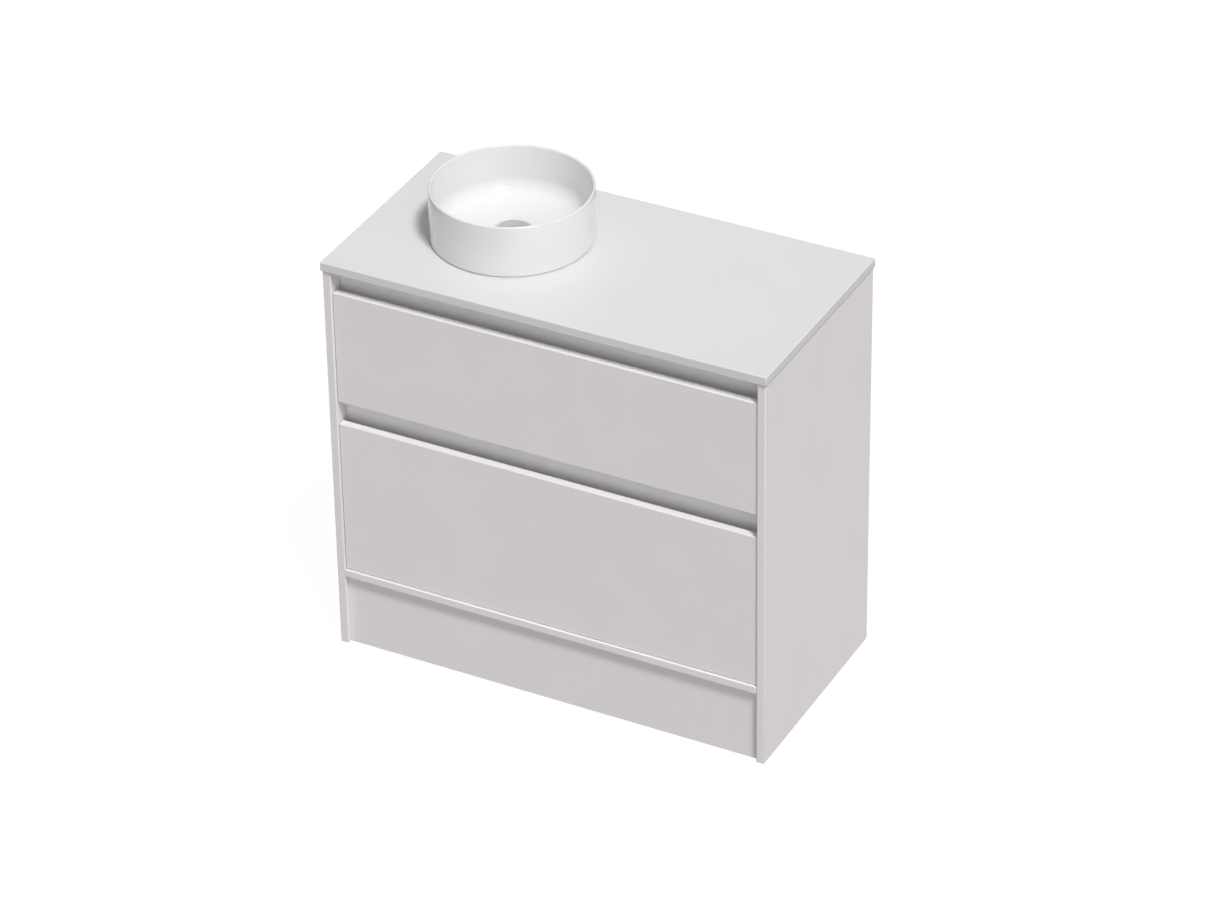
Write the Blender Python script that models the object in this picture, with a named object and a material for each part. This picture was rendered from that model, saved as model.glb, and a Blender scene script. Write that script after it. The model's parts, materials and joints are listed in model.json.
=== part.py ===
"""A floor-standing bathroom vanity: two drawers, a slab bench top and a round vessel basin.

Metres, +Z up. The front faces -Y. The origin is on the floor, in the middle of the bench top's outline.
Run it with blender --background --python part.py, or from Blender's text editor.
"""

import math

import bmesh
import bpy
from mathutils import Matrix, Vector

# Driving dimensions
BENCH_WIDTH = 0.900
BENCH_DEPTH = 0.455
BENCH_THICK = 0.018
BENCH_TOP = 0.840
CARCASS_WIDTH = 0.894
CARCASS_DEPTH = 0.450
FRONT_SETBACK = 0.003  # the carcass front stands this far behind the bench top's front edge
DRAWER_SETBACK = 0.004  # the drawer fronts stand this far behind the carcass front
BOARD = 0.016
FIT = 0.0003  # left between pieces that touch

KICK_HEIGHT = 0.153
KICK_RECESS = 0.010
PLINTH_FROM_BACK = 0.060  # leaves room for a skirting board
RAIL_RECESS = 0.035  # the rails behind the finger gaps stand this far behind the carcass front
TOP_RAIL_HEIGHT = 0.080
MIDDLE_RAIL = (0.452, 0.556)

DRAWER_FRONT_WIDTH = 0.860
DRAWER_BOX_WIDTH = 0.836
DRAWER_BOX_LENGTH = 0.400
DRAWER_BOARD = 0.015
DRAWER_BASE = 0.012
UPPER_FRONT = (0.542, 0.777)
LOWER_FRONT = (0.170, 0.494)
UPPER_BOX = (0.562, 0.732)
LOWER_BOX = (0.187, 0.437)
UPPER_RUNNER_Z = 0.620
LOWER_RUNNER_Z = 0.260

NOTCH_HALF_WIDTH = 0.075  # the upper drawer's cut-out for the trap, each side of the trap's axis
NOTCH_FRONT = 0.082  # from the trap's axis forward to the cut-out's front edge
NOTCH_BOARD = 0.012

RUNNER_SHEET = 0.0014
RUNNER_START = 0.0185  # from the drawer front's face
RUNNER_LENGTH = 0.400

BASIN_X = -0.180
BASIN_Y = 0.012
BASIN_RADIUS = 0.153
BASIN_HEIGHT = 0.1034
BASIN_WALL = 0.005
SEAL_THICK = 0.0010

WASTE_TUBE = 0.0210  # outer radius of the threaded waste
WASTE_BORE = 0.0170
TRAP_OUTLET_Z = 0.700

# Places that follow from them
FRONT = -BENCH_DEPTH / 2 + FRONT_SETBACK
BACK = FRONT + CARCASS_DEPTH
DRAWER_FACE = FRONT + DRAWER_SETBACK
CARCASS_TOP = BENCH_TOP - BENCH_THICK
SIDE_INNER = CARCASS_WIDTH / 2 - BOARD
BOX_HALF = DRAWER_BOX_WIDTH / 2
BOX_INNER = BOX_HALF - DRAWER_BOARD
BOX_START = BOARD + FIT  # from the drawer front's face, as all drawer lengths are
BOX_END = BOX_START + DRAWER_BOX_LENGTH
BASIN_FOOT = BENCH_TOP + SEAL_THICK + 2 * FIT

FINE_STEPS = 64
STEPS = 32
LEFT, RIGHT = -1, 1
SIDES = {"left": LEFT, "right": RIGHT}


def finish(name, colour, roughness, metallic=0.0):
    """A Principled material of one colour, given as linear red, green and blue."""
    material = bpy.data.materials.new(name)
    material.use_nodes = True
    shader = material.node_tree.nodes["Principled BSDF"]
    shader.inputs["Base Color"].default_value = (*colour, 1.0)
    shader.inputs["Roughness"].default_value = roughness
    shader.inputs["Metallic"].default_value = metallic
    return material


def make_finishes():
    return {
        "front": finish("painted_front", (0.80, 0.78, 0.77), 0.40),
        "board": finish("melamine_board", (0.78, 0.76, 0.75), 0.50),
        "stone": finish("bench_stone", (0.82, 0.82, 0.82), 0.35),
        "ceramic": finish("white_glaze", (0.87, 0.87, 0.86), 0.10),
        "chrome": finish("chrome_plate", (0.80, 0.80, 0.81), 0.08, 1.0),
        "steel": finish("zinc_plated_steel", (0.60, 0.61, 0.62), 0.30, 1.0),
        "plastic": finish("white_polypropylene", (0.80, 0.80, 0.78), 0.45),
        "rubber": finish("black_rubber", (0.03, 0.03, 0.03), 0.80),
        "silicone": finish("clear_silicone", (0.70, 0.70, 0.68), 0.40),
    }


def add(name, mesh_work, material, place=(0, 0, 0), parent=None):
    """Turns a bmesh into a named object at this place, which is measured from its parent."""
    mesh = bpy.data.meshes.new(name)
    mesh_work.to_mesh(mesh)
    mesh_work.free()
    mesh.materials.append(material)
    piece = bpy.data.objects.new(name, mesh)
    bpy.context.scene.collection.objects.link(piece)
    piece.location = place
    piece.parent = parent
    return piece


def assembly(name, place):
    empty = bpy.data.objects.new(name, None)
    bpy.context.scene.collection.objects.link(empty)
    empty.location = place
    return empty


def board(name, x, y, z, material, parent=None):
    """A rectangular board between the two ends given for each axis, with its origin at its centre."""
    work = bmesh.new()
    bmesh.ops.create_cube(work, size=1.0)
    bmesh.ops.scale(work, vec=[high - low for low, high in (x, y, z)], verts=work.verts)
    centre = [(low + high) / 2 for low, high in (x, y, z)]
    return add(name, work, material, centre, parent)


def prism(name, outline, start, end, material, parent=None, along_y=True):
    """An outline extruded along Y, or along Z. The outline's points are (x, z), or (x, y)."""
    work = bmesh.new()
    if along_y:
        corners = [work.verts.new((a, start, b)) for a, b in outline]
        travel = (0, end - start, 0)
    else:
        corners = [work.verts.new((a, b, start)) for a, b in outline]
        travel = (0, 0, end - start)
    base = work.faces.new(corners)
    top = bmesh.ops.extrude_face_region(work, geom=[base])["geom"]
    moved = [v for v in top if isinstance(v, bmesh.types.BMVert)]
    bmesh.ops.translate(work, vec=travel, verts=moved)
    bmesh.ops.recalc_face_normals(work, faces=work.faces)
    return add(name, work, material, parent=parent)


def turned(name, profile, material, place, steps=STEPS, along_y=False, parent=None):
    """A profile of (radius, height) points turned about +Z, or about +Y.

    The profile is closed from its last point to its first, unless both of them lie on the axis.
    """
    work = bmesh.new()
    points = [work.verts.new((radius, 0, height)) for radius, height in profile]
    edges = [work.edges.new(pair) for pair in zip(points, points[1:])]
    if profile[0][0] > 0 or profile[-1][0] > 0:
        edges.append(work.edges.new((points[-1], points[0])))
    bmesh.ops.spin(
        work, geom=points + edges, cent=(0, 0, 0), axis=(0, 0, 1),
        angle=math.tau, steps=steps, use_merge=True,
    )
    bmesh.ops.remove_doubles(work, verts=work.verts, dist=0.00001)
    bmesh.ops.recalc_face_normals(work, faces=work.faces)
    if along_y:
        bmesh.ops.rotate(work, matrix=Matrix.Rotation(-math.pi / 2, 3, "X"), verts=work.verts)
    piece = add(name, work, material, place, parent)
    piece.data.shade_smooth()
    piece.data.set_sharp_from_angle(angle=math.radians(35))
    return piece


def arc(centre, radius, start, end, points=5):
    """Points on a round corner of a profile, from one angle to another in degrees."""
    turns = [math.radians(start + (end - start) * i / (points - 1)) for i in range(points)]
    return [(centre[0] + radius * math.cos(t), centre[1] + radius * math.sin(t)) for t in turns]


def combine(piece, helper, operation):
    """Adds a helper's shape to a piece, or cuts it away, and leaves the helper out of the model."""
    helper.hide_render = True
    helper.display_type = "WIRE"
    modifier = piece.modifiers.new(helper.name, "BOOLEAN")
    modifier.operation = operation
    modifier.solver = "EXACT"
    modifier.object = helper


def cylinder_cutter(name, radius, length, place, steps=STEPS, along_y=False, material=None):
    profile = [(0, 0), (radius, 0), (radius, length), (0, length)]
    return turned(name, profile, material, place, steps, along_y)


def make_carcass(looks):
    between = (-SIDE_INNER + FIT, SIDE_INNER - FIT)
    top = CARCASS_TOP - FIT
    depth = (FRONT, BACK)
    half = CARCASS_WIDTH / 2
    board("side_panel_left", (-half, -SIDE_INNER), depth, (0, top), looks["board"])
    board("side_panel_right", (SIDE_INNER, half), depth, (0, top), looks["board"])
    floor = (KICK_HEIGHT, KICK_HEIGHT + BOARD)
    board("bottom_panel", between, depth, floor, looks["board"])

    under_floor = (0, KICK_HEIGHT - FIT)
    kick_front = FRONT + KICK_RECESS
    board("kick_panel", between, (kick_front, kick_front + BOARD), under_floor, looks["front"])
    plinth_back = BACK - PLINTH_FROM_BACK
    board("rear_plinth", between, (plinth_back - BOARD, plinth_back), under_floor, looks["board"])

    rail_front = FRONT + RAIL_RECESS
    behind_gap = (rail_front, rail_front + BOARD)
    at_back = (BACK - BOARD, BACK)
    board("front_top_rail", between, behind_gap, (top - TOP_RAIL_HEIGHT, top), looks["front"])
    board("middle_rail", between, behind_gap, MIDDLE_RAIL, looks["front"])
    board("back_top_rail", between, at_back, (top - TOP_RAIL_HEIGHT, top), looks["board"])
    low = KICK_HEIGHT + BOARD + FIT
    board("back_bottom_rail", between, at_back, (low, low + TOP_RAIL_HEIGHT), looks["board"])


def make_fixings(looks):
    """Corner blocks that hold the bench top, and steel angles behind the back rail's ends."""
    block, chamfer, length = 0.025, 0.013, 0.030
    top = CARCASS_TOP - FIT
    for side, sign in SIDES.items():
        wall = sign * (SIDE_INNER - FIT)
        outline = [
            (wall, top),
            (wall, top - block),
            (wall - sign * (block - chamfer), top - block),
            (wall - sign * block, top - block + chamfer),
            (wall - sign * block, top),
        ]
        for where, y in (("front", -0.110), ("back", 0.110)):
            name = f"bench_block_{where}_{side}"
            prism(name, outline, y - length / 2, y + length / 2, looks["plastic"])

        leg, sheet, width = 0.040, 0.002, 0.036
        rail = BACK - BOARD - FIT
        angle = [
            (wall, rail),
            (wall - sign * leg, rail),
            (wall - sign * leg, rail - sheet),
            (wall - sign * sheet, rail - sheet),
            (wall - sign * sheet, rail - leg),
            (wall, rail - leg),
        ]
        low = top - TOP_RAIL_HEIGHT / 2 - width / 2
        prism(f"angle_bracket_{side}", angle, low, low + width, looks["steel"], along_y=False)


def runner_member(name, sign, height, web, reach, half_height, ends, material, parent):
    """One channel of a ball-bearing runner.

    web and reach are distances from the side panel's inner face: where the channel's web starts,
    and where its flanges end, which is further in or further out.
    """
    away = 1 if reach > web else -1
    inner = web + away * RUNNER_SHEET
    flange = half_height - RUNNER_SHEET
    section = [
        (web, -half_height), (reach, -half_height), (reach, -flange), (inner, -flange),
        (inner, flange), (reach, flange), (reach, half_height), (web, half_height),
    ]
    outline = [(sign * (SIDE_INNER - across), height + up) for across, up in section]
    return prism(name, outline, *ends, material, parent)


def make_runners(looks, name, height, drawer, middle):
    """The three members of each of a drawer's two runners: on the carcass, between, and on the drawer.

    The middle and the drawer members are children of empties, so their shapes start from those.
    """
    steel = looks["steel"]
    start = DRAWER_FACE + RUNNER_START
    end = start + RUNNER_LENGTH
    panel_gap = 0.013  # from the side panel to the drawer's side
    for side, sign in SIDES.items():
        runner_member(
            f"{name}_runner_outer_{side}", sign, height, FIT, 0.0108, 0.0225,
            (start, end), steel, None,
        )
        runner_member(
            f"{name}_runner_middle_{side}", sign, height - middle.location.z, 0.0038, 0.0112, 0.0160,
            (start + 0.002 - middle.location.y, end - 0.004 - middle.location.y), steel, middle,
        )
        runner_member(
            f"{name}_runner_inner_{side}", sign, height - drawer.location.z,
            panel_gap - FIT, 0.0068, 0.0110,
            (start - drawer.location.y, BOX_END + DRAWER_FACE - drawer.location.y), steel, drawer,
        )


def make_drawer_box(looks, name, box_heights, drawer):
    """The pieces that both drawers have. Lengths run back from the front of the drawer's front."""
    base = drawer.location.z
    low, high = box_heights[0] - base, box_heights[1] - base
    length = (BOX_START, BOX_END)
    for side, sign in SIDES.items():
        across = tuple(sorted((sign * BOX_INNER, sign * BOX_HALF)))
        board(f"{name}_side_{side}", across, length, (low, high), looks["board"], drawer)
    between = (-BOX_INNER + FIT, BOX_INNER - FIT)
    on_base = (low + DRAWER_BASE + FIT, high)
    inner_front = (BOX_START, BOX_START + DRAWER_BOARD)
    board(f"{name}_inner_front", between, inner_front, on_base, looks["board"], drawer)
    return low, on_base, between


def make_upper_drawer(looks):
    """The drawer under the basin. A cut-out in its back clears the trap."""
    name = "upper_drawer"
    drawer = assembly(name, (0, DRAWER_FACE, UPPER_FRONT[0]))
    middle = assembly(f"{name}_runner_middle", (0, DRAWER_FACE, UPPER_RUNNER_Z))
    half = DRAWER_FRONT_WIDTH / 2
    height = UPPER_FRONT[1] - UPPER_FRONT[0]
    board(f"{name}_front", (-half, half), (0, BOARD), (0, height), looks["front"], drawer)
    low, on_base, between = make_drawer_box(looks, name, UPPER_BOX, drawer)

    clear_left, clear_right = BASIN_X - NOTCH_HALF_WIDTH, BASIN_X + NOTCH_HALF_WIDTH
    clear_front = BASIN_Y - NOTCH_FRONT - DRAWER_FACE
    outline = [
        (between[0], BOX_START), (between[1], BOX_START), (between[1], BOX_END),
        (clear_right, BOX_END), (clear_right, clear_front),
        (clear_left, clear_front), (clear_left, BOX_END), (between[0], BOX_END),
    ]
    prism(f"{name}_base", outline, low, low + DRAWER_BASE, looks["board"], drawer, along_y=False)

    wall_left, wall_right = clear_left - NOTCH_BOARD, clear_right + NOTCH_BOARD
    across_front = (clear_front - NOTCH_BOARD, clear_front)
    sides = (clear_front + FIT, BOX_END)
    wood = looks["board"]
    board(f"{name}_notch_front", (wall_left, wall_right), across_front, on_base, wood, drawer)
    board(f"{name}_notch_left", (wall_left, clear_left), sides, on_base, wood, drawer)
    board(f"{name}_notch_right", (clear_right, wall_right), sides, on_base, wood, drawer)
    back = (BOX_END - DRAWER_BOARD, BOX_END)
    board(f"{name}_back_left", (between[0], wall_left - FIT), back, on_base, wood, drawer)
    board(f"{name}_back_right", (wall_right + FIT, between[1]), back, on_base, wood, drawer)
    make_runners(looks, name, UPPER_RUNNER_Z, drawer, middle)


def make_lower_drawer(looks):
    name = "lower_drawer"
    drawer = assembly(name, (0, DRAWER_FACE, LOWER_FRONT[0]))
    middle = assembly(f"{name}_runner_middle", (0, DRAWER_FACE, LOWER_RUNNER_Z))
    half = DRAWER_FRONT_WIDTH / 2
    height = LOWER_FRONT[1] - LOWER_FRONT[0]
    board(f"{name}_front", (-half, half), (0, BOARD), (0, height), looks["front"], drawer)
    low, on_base, between = make_drawer_box(looks, name, LOWER_BOX, drawer)
    base = (low, low + DRAWER_BASE)
    board(f"{name}_base", between, (BOX_START, BOX_END), base, looks["board"], drawer)
    back = (BOX_END - DRAWER_BOARD, BOX_END)
    board(f"{name}_back", between, back, on_base, looks["board"], drawer)
    make_runners(looks, name, LOWER_RUNNER_Z, drawer, middle)


def make_bench_top(looks):
    half = BENCH_WIDTH / 2
    depth = (-BENCH_DEPTH / 2, BENCH_DEPTH / 2)
    bench = board("bench_top", (-half, half), depth, (CARCASS_TOP, BENCH_TOP), looks["stone"])
    hole = 0.030
    cutter = cylinder_cutter(
        "waste_hole", hole, 2 * BENCH_THICK, (BASIN_X, BASIN_Y, CARCASS_TOP - BENCH_THICK / 2),
    )
    combine(bench, cutter, "DIFFERENCE")


def basin_profile():
    """The bowl's half section, up the outside, over the rim and down the inside to the waste hole."""
    foot_outer, foot_inner, hollow = 0.1495, 0.1385, 0.0035
    outer_round = BASIN_RADIUS - foot_outer
    rim = BASIN_WALL / 2
    rim_centre = (BASIN_RADIUS - rim, BASIN_HEIGHT - rim)
    inner_round = 0.028
    inner_wall = BASIN_RADIUS - BASIN_WALL - 0.0025  # the inside leans in this far by the bowl's floor
    floor_edge, floor_waste, seat = 0.0135, 0.0105, 0.0050
    seat_radius, hole, hub = 0.0345, 0.0225, 0.038
    inner_centre = (inner_wall - inner_round, floor_edge + inner_round)
    return [
        (hole, 0),
        (hub, 0),
        (hub + hollow, hollow),
        (foot_inner - hollow, hollow),
        (foot_inner, 0),
        *arc((foot_outer, outer_round), outer_round, -90, 0),
        *arc(rim_centre, rim, 0, 180),
        *arc(inner_centre, inner_round, 0, -90, 6),
        (seat_radius + 0.004, floor_waste),
        (seat_radius, floor_waste - 0.0015),
        (seat_radius, seat),
        (hole, seat),
    ]


def make_basin(looks):
    place = (BASIN_X, BASIN_Y, BASIN_FOOT)
    turned("basin", basin_profile(), looks["ceramic"], place, FINE_STEPS)
    ring = [(0.1390, 0), (0.1490, 0), (0.1490, SEAL_THICK), (0.1390, SEAL_THICK)]
    turned("basin_seal", ring, looks["silicone"], (BASIN_X, BASIN_Y, BENCH_TOP + FIT), FINE_STEPS)


def make_waste(looks):
    """The threaded waste with its flange, the washer and nut under the bench, and the plug in it."""
    axis = (BASIN_X, BASIN_Y, 0)
    flange_low = BASIN_FOOT + 0.0050 + FIT
    flange_top = flange_low + 0.0020
    body = [
        (0.0330, flange_low), (0.0330, flange_top - 0.0006), (0.0324, flange_top),
        (0.0205, flange_top), (WASTE_BORE, flange_top - 0.0035), (WASTE_BORE, 0.7600),
        (WASTE_TUBE, 0.7600), (WASTE_TUBE, flange_low),
    ]
    turned("waste_body", body, looks["chrome"], axis)

    grip = WASTE_TUBE + FIT
    washer_top = CARCASS_TOP - FIT
    washer = [(grip, 0), (0.0380, 0), (0.0380, 0.0040), (grip, 0.0040)]
    place = (BASIN_X, BASIN_Y, washer_top - 0.0040)
    turned("waste_washer", washer, looks["rubber"], place)

    nut_height = 0.010
    nut_low = washer_top - 0.0040 - FIT - nut_height
    corners = [math.radians(60 * i) for i in range(6)]
    hexagon = [(0.0346 * math.cos(a), 0.0346 * math.sin(a)) for a in corners]
    nut = prism("waste_backnut", hexagon, 0, nut_height, looks["chrome"], along_y=False)
    nut.location = (BASIN_X, BASIN_Y, nut_low)
    cutter = cylinder_cutter("backnut_bore", grip, 3 * nut_height, (BASIN_X, BASIN_Y, nut_low - nut_height))
    combine(nut, cutter, "DIFFERENCE")
    make_plug(looks, flange_top)


def make_plug(looks, flange_top):
    """The push plug: a cap with its seal, on a stem that slides in a guide in the waste's bore."""
    rest = flange_top + 0.0018
    plug = assembly("plug", (BASIN_X, BASIN_Y, rest))
    cap = [(0, 0), (0.0302, 0), *arc((0.0302, 0.0008), 0.0008, -90, 0, 3)]
    cap += [(0.0310, 0.0026), *arc((0.0290, 0.0028), 0.0020, 10, 70, 4), (0.0150, 0.0054), (0, 0.0058)]
    turned("plug_cap", cap, looks["chrome"], (0, 0, 0), parent=plug)
    seal_low = -0.0015
    ring = [(0.0215, seal_low), (0.0260, seal_low), (0.0260, -FIT), (0.0215, -FIT)]
    turned("plug_seal", ring, looks["rubber"], (0, 0, 0), parent=plug)
    stem_radius, stem_length = 0.0040, 0.0455
    stem = [(0, -stem_length), (stem_radius, -stem_length), (stem_radius, -FIT), (0, -FIT)]
    turned("plug_stem", stem, looks["chrome"], (0, 0, 0), 16, parent=plug)

    guide_low, guide_height = rest - 0.036, 0.020
    place = (BASIN_X, BASIN_Y, guide_low)
    tube = [(stem_radius + FIT, 0), (0.0085, 0), (0.0085, guide_height), (stem_radius + FIT, guide_height)]
    guide = turned("plug_guide", tube, looks["plastic"], place, 16)
    arm_inner, arm_outer, arm_half = 0.0070, 0.0163, 0.0010
    for number in range(4):
        around = Matrix.Rotation(math.radians(90 * number), 4, "Z")
        arm = board(
            f"guide_arm_{number}", (arm_inner, arm_outer), (-arm_half, arm_half),
            (0.002, guide_height - 0.002), looks["plastic"],
        )
        arm.matrix_world = Matrix.Translation(place) @ around @ Matrix.Translation(arm.location)
        combine(guide, arm, "UNION")


def make_trap(looks):
    """The bottle trap under the waste, and the pipe that runs back from it to the wall."""
    axis = (BASIN_X, BASIN_Y, 0)
    plastic = looks["plastic"]
    neck_top, neck, neck_bore = 0.7655, 0.0245, 0.0215
    grip, shoulder = WASTE_TUBE + FIT, neck_top + FIT
    nut = [
        (neck + FIT, 0.7490), (0.0300, 0.7490), (0.0300, 0.7750), (0.0285, 0.7770),
        (grip, 0.7770), (grip, shoulder), (neck + FIT, shoulder),
    ]
    turned("trap_inlet_nut", nut, plastic, axis)
    tube = [
        (0.0130, 0.6250), (0.0150, 0.6250), (0.0150, 0.7570), (0.0212, 0.7570),
        (0.0212, 0.7590), (0.0130, 0.7590),
    ]
    turned("trap_dip_tube", tube, plastic, axis)

    bottle, wall = 0.0320, 0.0030
    body_profile = [
        (neck_bore, neck_top), (neck_bore, 0.7440), (bottle - wall, 0.7370), (bottle - wall, 0.6440),
        (bottle, 0.6440), (bottle, 0.7390), (neck, 0.7460), (neck, neck_top),
    ]
    body = turned("trap_body", body_profile, plastic, axis)
    stub_radius, stub_bore, stub_end = 0.0215, 0.0176, 0.0580
    stub_place = (BASIN_X, BASIN_Y + bottle - 0.0065, TRAP_OUTLET_Z)
    stub = cylinder_cutter("outlet_stub", stub_radius, stub_end - (bottle - 0.0065), stub_place, along_y=True)
    combine(body, stub, "UNION")
    bore_place = (BASIN_X, BASIN_Y + 0.0180, TRAP_OUTLET_Z)
    bore = cylinder_cutter("outlet_bore", stub_bore, 0.060, bore_place, along_y=True)
    combine(body, bore, "DIFFERENCE")

    cup_bore, cup, cup_low, cup_top = bottle + 0.0005, 0.0355, 0.5980, 0.6720
    cup_profile = [
        (0, cup_low), *arc((0.0255, cup_low + 0.0100), 0.0100, -90, 0), (cup, cup_top),
        (cup_bore, cup_top), *arc((0.0255, cup_low + 0.0100), 0.0070, 0, -90), (0, cup_low + 0.0030),
    ]
    turned("trap_cup", cup_profile, plastic, axis)

    pipe_start, pipe, pipe_bore = 0.0400, 0.0172, 0.0150
    pipe_end = BENCH_DEPTH / 2 - 0.0005 - BASIN_Y
    outlet = (BASIN_X, BASIN_Y, TRAP_OUTLET_Z)
    pipe_profile = [(pipe_bore, pipe_start), (pipe, pipe_start), (pipe, pipe_end), (pipe_bore, pipe_end)]
    turned("trap_outlet_pipe", pipe_profile, plastic, outlet, along_y=True)
    over_stub, over_pipe = stub_radius + FIT, pipe + FIT
    outlet_nut = [
        (over_stub, 0.0400), (0.0268, 0.0400), (0.0268, 0.0640), (0.0255, 0.0660),
        (over_pipe, 0.0660), (over_pipe, stub_end + FIT), (over_stub, stub_end + FIT),
    ]
    turned("trap_outlet_nut", outlet_nut, plastic, outlet, along_y=True)


def clear_scene():
    for piece in list(bpy.data.objects):
        bpy.data.objects.remove(piece)


def main():
    clear_scene()
    looks = make_finishes()
    make_carcass(looks)
    make_fixings(looks)
    make_upper_drawer(looks)
    make_lower_drawer(looks)
    make_bench_top(looks)
    make_basin(looks)
    make_waste(looks)
    make_trap(looks)


main()
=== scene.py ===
"""The looks of a bathroom vanity: painted drawer fronts, a slab bench top and a glazed vessel basin."""

import json
import math

import bmesh
import bpy
from mathutils import Matrix, Vector


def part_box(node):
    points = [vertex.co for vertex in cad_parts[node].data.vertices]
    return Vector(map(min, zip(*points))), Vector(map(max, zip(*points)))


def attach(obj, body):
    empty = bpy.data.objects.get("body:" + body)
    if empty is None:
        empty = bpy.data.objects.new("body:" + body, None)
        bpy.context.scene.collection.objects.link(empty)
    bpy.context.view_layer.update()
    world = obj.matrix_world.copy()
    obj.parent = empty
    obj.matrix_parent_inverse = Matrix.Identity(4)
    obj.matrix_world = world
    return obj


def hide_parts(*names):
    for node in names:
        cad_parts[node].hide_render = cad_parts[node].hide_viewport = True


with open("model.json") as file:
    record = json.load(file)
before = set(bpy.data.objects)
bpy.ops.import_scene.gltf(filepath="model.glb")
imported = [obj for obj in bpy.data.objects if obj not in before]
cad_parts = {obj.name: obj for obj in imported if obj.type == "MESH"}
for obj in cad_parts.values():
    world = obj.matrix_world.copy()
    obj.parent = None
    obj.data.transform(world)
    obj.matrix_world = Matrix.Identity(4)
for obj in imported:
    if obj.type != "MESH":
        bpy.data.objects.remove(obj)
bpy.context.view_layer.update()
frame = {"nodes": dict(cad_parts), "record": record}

NODES = frame["nodes"]
BODIES = frame["record"]["behaviour"]["bodies"]
SLOTS = {part["node"]: part["material_slot"] for part in frame["record"]["subparts"]}
BODY_OF = {node: body for body, nodes in BODIES.items() for node in nodes}

LEFT, RIGHT = -1, 1
SIDES = {"left": LEFT, "right": RIGHT}
DRAWERS = ("upper_drawer", "lower_drawer")
X_AXIS, Y_AXIS, Z_AXIS = Vector((1, 0, 0)), Vector((0, 1, 0)), Vector((0, 0, 1))

# Camera
CAMERA_PLACE = (3.6584, -6.9211, 5.5011)
CAMERA_AZIMUTH = 27.813
CAMERA_ELEVATION = 32.934
CAMERA_ROLL = -0.941
CAMERA_LENS = 149.6
CAMERA_SENSOR = 36.0

# Light, as the radiance it gives a white surface that faces it
KEY_AZIMUTH, KEY_ELEVATION, KEY_LEVEL, KEY_SPREAD = 54.0, 60.0, 0.855, 11.0
FILL_AZIMUTH, FILL_ELEVATION, FILL_LEVEL, FILL_SPREAD = 43.0, 4.0, 0.15, 65.0
SKY_LEVEL, GROUND_LEVEL, HORIZON = 0.38, 0.40, 0.2
FLOOR_GLOW, BACKDROP_GLOW = 0.97, 1.0
STUDIO_RADIUS = 30.0

# Edge roundings and thicknesses
PANEL_ROUNDING = 0.0015
FRONT_ROUNDING = 0.0014
BANDED_ROUNDING = 0.0006
BENCH_ROUNDING = 0.0015
SHEET_ROUNDING = 0.0004
TRIM_ROUNDING = 0.0003
METAL_SHEET = 0.0020
RAIL_THICKNESS = 0.016
BASIN_WALL = 0.005

# Steps round a turned piece
ROUND_STEPS = 96
BASIN_STEPS = 160
PIPE_STEPS = 64
RIBBED_STEPS = 72

# In degrees, the most that two faces turn by and are still shaded as one, and the least for a rounded edge
SMOOTH_ANGLE = 35
SHARP_ANGLE = 30

# Grip ribs: how far they stand out, how much of their pitch they take, and how much their tops narrow
RIB_RISE = 0.0013
RIB_SHARE = 0.34
RIB_TAPER = 0.72

# Caps over the joints' screws: from a board's ends, up and down from its middle, and under the bottom panel
CAP_INSET = 0.034
CAP_SPREAD = 0.020
BOTTOM_CAPS = (-0.15, 0.14)

# Screws: along a bracket's legs from its corner, across a drawer's inner front, and from its long edges
BRACKET_SCREWS = (0.014, 0.031)
FRONT_SCREWS = (-0.36, -0.12, 0.12, 0.36)
FRONT_SCREW_INSET = 0.035

# The part of its range that a noise texture mostly keeps to
NOISE_LOW, NOISE_HIGH = 0.3, 0.7
NOISE_BAND = {"From_Min": NOISE_LOW, "From_Max": NOISE_HIGH}


# Materials


def srgb(code):
    """An sRGB hex colour as linear red, green, blue and alpha."""
    channels = [int(code[i : i + 2], 16) / 255 for i in (1, 3, 5)]
    linear = [c / 12.92 if c <= 0.04045 else ((c + 0.055) / 1.055) ** 2.4 for c in channels]
    return (*linear, 1.0)


def connect(tree, node, **sources):
    """Links each source, a node or one of its sockets, to the socket of this name."""
    for name, source in sources.items():
        tree.links.new(getattr(source, "outputs", [source])[0], node.inputs[name.replace("_", " ")])


def add(tree, kind, links=None, stops=None, options=None, **values):
    """Adds a node: options are its own settings, values and links are for its input sockets.

    stops are a colour ramp's places and hex colours.
    """
    node = tree.nodes.new("ShaderNode" + kind)
    for name, value in (options or {}).items():
        setattr(node, name, value)
    for name, value in values.items():
        node.inputs[name.replace("_", " ")].default_value = value
    connect(tree, node, **(links or {}))
    if stops:
        ramp = node.color_ramp.elements
        while len(ramp) < len(stops):
            ramp.new(1.0)
        for element, (place, code) in zip(ramp, stops):
            element.position = place
            element.color = srgb(code)
    return node


def new_material(name, **values):
    """A material whose shader has these constant values. Returns it, its tree, the shader and the place."""
    material = bpy.data.materials.new(name)
    material.use_nodes = True
    tree = material.node_tree
    shader = tree.nodes["Principled BSDF"]
    for socket, value in values.items():
        shader.inputs[socket.replace("_", " ")].default_value = value
    return material, tree, shader, add(tree, "TexCoord").outputs["Object"]


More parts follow.
